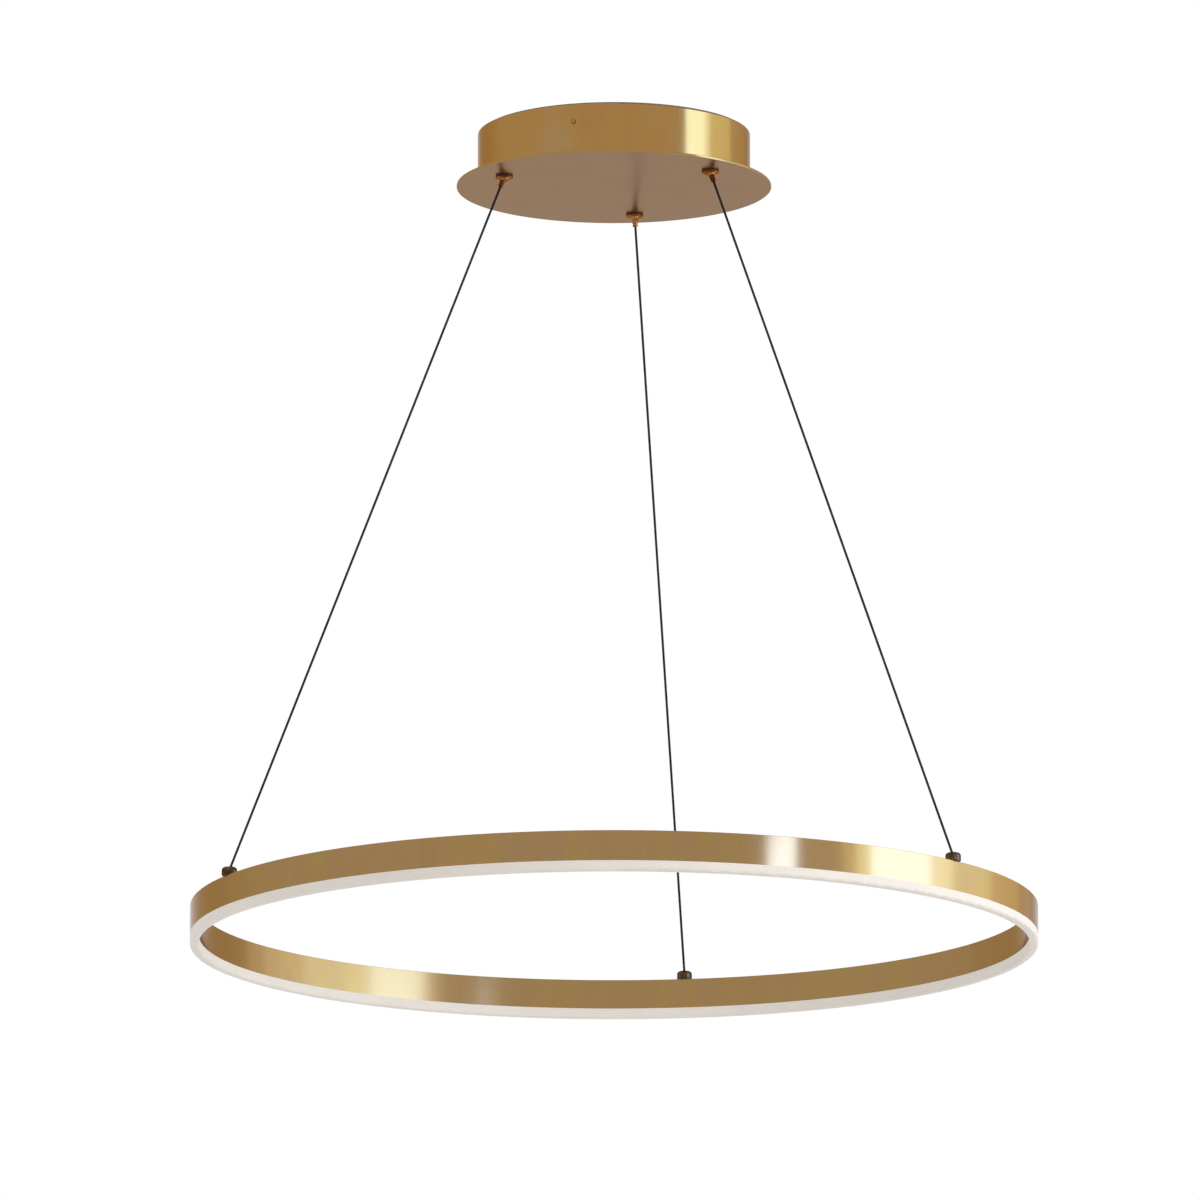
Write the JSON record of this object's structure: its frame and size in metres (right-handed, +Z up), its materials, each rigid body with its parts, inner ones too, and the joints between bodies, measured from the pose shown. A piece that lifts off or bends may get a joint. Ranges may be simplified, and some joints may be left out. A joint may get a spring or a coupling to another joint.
{
  "type": "led ring chandelier",
  "caption": "Slim brass-coloured LED ring hung by steel cables from a round ceiling canopy with a polished plate; the drop is adjustable at the cable grippers.",
  "frame": {"origin": "centre of the mounting plate's top face, which lies against the ceiling", "axes": "+Z up out of the ceiling side, along the chandelier's own axis; -Y is the side looked at; +X to its right"},
  "size_m": [0.8, 0.8, 0.789],
  "materials": {
    "ring_metal": "brass-coloured, brushed round the ring, satin lacquer",
    "drum_metal": "brass-coloured plating, fine brushing",
    "plate_metal": "polished brass-coloured plating with a pink cast",
    "gripper_metal": "polished, reddish",
    "cap_metal": "dark bronze, polished",
    "cable_steel": "dark twisted wire rope",
    "opal": "opal, milky, satin",
    "zinc_steel": "zinc plated",
    "screw_metal": "brass-coloured plating",
    "case_plastic": "white, fine texture",
    "block_plastic": "natural nylon",
    "black_plastic": "black nylon",
    "grommet_rubber": "black",
    "lead_red": "red insulation",
    "lead_brown": "brown insulation",
    "lead_green": "green and yellow insulation",
    "strip_board": "white solder mask",
    "chip_phosphor": "yellow phosphor",
    "tin": "tinned"
  },
  "bodies": {
    "canopy": {"mounting_plate": "zinc_steel", "cable_grommet": "grommet_rubber", "canopy_drum": "drum_metal", "side_screws": "screw_metal", "canopy_plate": "plate_metal", "drum_brackets": "zinc_steel", "bracket_nuts": "zinc_steel", "driver_housing": "case_plastic", "driver_covers": "case_plastic", "driver_nuts": "zinc_steel", "terminal_block": "block_plastic", "clamp_screws": "zinc_steel", "earth_lug": "tin", "earth_nut": "zinc_steel", "earth_lead": "lead_green", "gripper_collars": "gripper_metal", "gripper_washers": "black_plastic", "gripper_bushes": "black_plastic", "gripper_locknuts": "zinc_steel", "cable_tails": "cable_steel", "tail_crimps": "tin", "output_leads": "lead_red", "supply_leads": "lead_brown"},
    "ring": {"ring_channel": "ring_metal", "diffuser": "opal", "led_strips": "strip_board", "led_chips": "chip_phosphor", "cable_caps": "cap_metal", "cap_washers": "black_plastic", "anchor_bushes": "black_plastic", "feed_lugs": "tin", "anchor_screws": "zinc_steel", "feed_leads": "lead_red", "suspension_cable_1": "cable_steel", "suspension_cable_2": "cable_steel", "suspension_cable_3": "cable_steel"},
    "swivel_1": {"gripper_swivel_1": "gripper_metal", "release_spring_1": "tin"},
    "sleeve_1": {"release_sleeve_1": "gripper_metal"},
    "ball_1": {"ball_end_1": "tin"},
    "swivel_2": {"gripper_swivel_2": "gripper_metal", "release_spring_2": "tin"},
    "sleeve_2": {"release_sleeve_2": "gripper_metal"},
    "ball_2": {"ball_end_2": "tin"},
    "swivel_3": {"gripper_swivel_3": "gripper_metal", "release_spring_3": "tin"},
    "sleeve_3": {"release_sleeve_3": "gripper_metal"},
    "ball_3": {"ball_end_3": "tin"}
  },
  "joints": [
    {"name": "ring_height", "type": "slide", "parent": "canopy", "child": "ring", "axis": [0, 0, 1], "range_m": [0, 0.3], "deforming": ["suspension_cable_1", "suspension_cable_2", "suspension_cable_3"]},
    {"name": "gripper_1_tilt", "type": "hinge", "parent": "canopy", "child": "swivel_1", "pos_m": [0.01997, 0.11325, -0.0545], "axis": [0.9848, -0.1736, 0], "range_deg": [0, 13.6]},
    {"name": "release_1_press", "type": "slide", "parent": "swivel_1", "child": "sleeve_1", "axis": [-0.0653, -0.3705, 0.9265], "range_m": [0, 0.0014], "stiffness_N_per_m": 100, "springref_m": -0.0001, "deforming": ["release_spring_1"]},
    {"name": "ball_1_tilt", "type": "hinge", "parent": "ring", "child": "ball_1", "pos_m": [0.06872, 0.38974, -0.7459], "axis": [0.9848, -0.1736, 0], "range_deg": [0, 13.6]},
    {"name": "gripper_2_tilt", "type": "hinge", "parent": "canopy", "child": "swivel_2", "pos_m": [-0.10422, -0.0486, -0.0545], "axis": [-0.4226, 0.9063, 0], "range_deg": [0, 13.6]},
    {"name": "release_2_press", "type": "slide", "parent": "swivel_2", "child": "sleeve_2", "axis": [0.341, 0.159, 0.9265], "range_m": [0, 0.0014], "stiffness_N_per_m": 100, "springref_m": -0.0001, "deforming": ["release_spring_2"]},
    {"name": "ball_2_tilt", "type": "hinge", "parent": "ring", "child": "ball_2", "pos_m": [-0.35867, -0.16725, -0.7459], "axis": [-0.4226, 0.9063, 0], "range_deg": [0, 13.6]},
    {"name": "gripper_3_tilt", "type": "hinge", "parent": "canopy", "child": "swivel_3", "pos_m": [0.09124, -0.07001, -0.0545], "axis": [-0.6088, -0.7934, 0], "range_deg": [0, 13.6]},
    {"name": "release_3_press", "type": "slide", "parent": "swivel_3", "child": "sleeve_3", "axis": [-0.2985, 0.229, 0.9265], "range_m": [0, 0.0014], "stiffness_N_per_m": 100, "springref_m": -0.0001, "deforming": ["release_spring_3"]},
    {"name": "ball_3_tilt", "type": "hinge", "parent": "ring", "child": "ball_3", "pos_m": [0.31397, -0.24092, -0.7459], "axis": [-0.6088, -0.7934, 0], "range_deg": [0, 13.6]}
  ],
  "couplings": [
    {"joint": "gripper_1_tilt", "follows": "ring_height", "rad_per_m": 0.7884},
    {"joint": "ball_1_tilt", "follows": "ring_height", "rad_per_m": 0.7884},
    {"joint": "gripper_2_tilt", "follows": "ring_height", "rad_per_m": 0.7884},
    {"joint": "ball_2_tilt", "follows": "ring_height", "rad_per_m": 0.7884},
    {"joint": "gripper_3_tilt", "follows": "ring_height", "rad_per_m": 0.7884},
    {"joint": "ball_3_tilt", "follows": "ring_height", "rad_per_m": 0.7884}
  ]
}
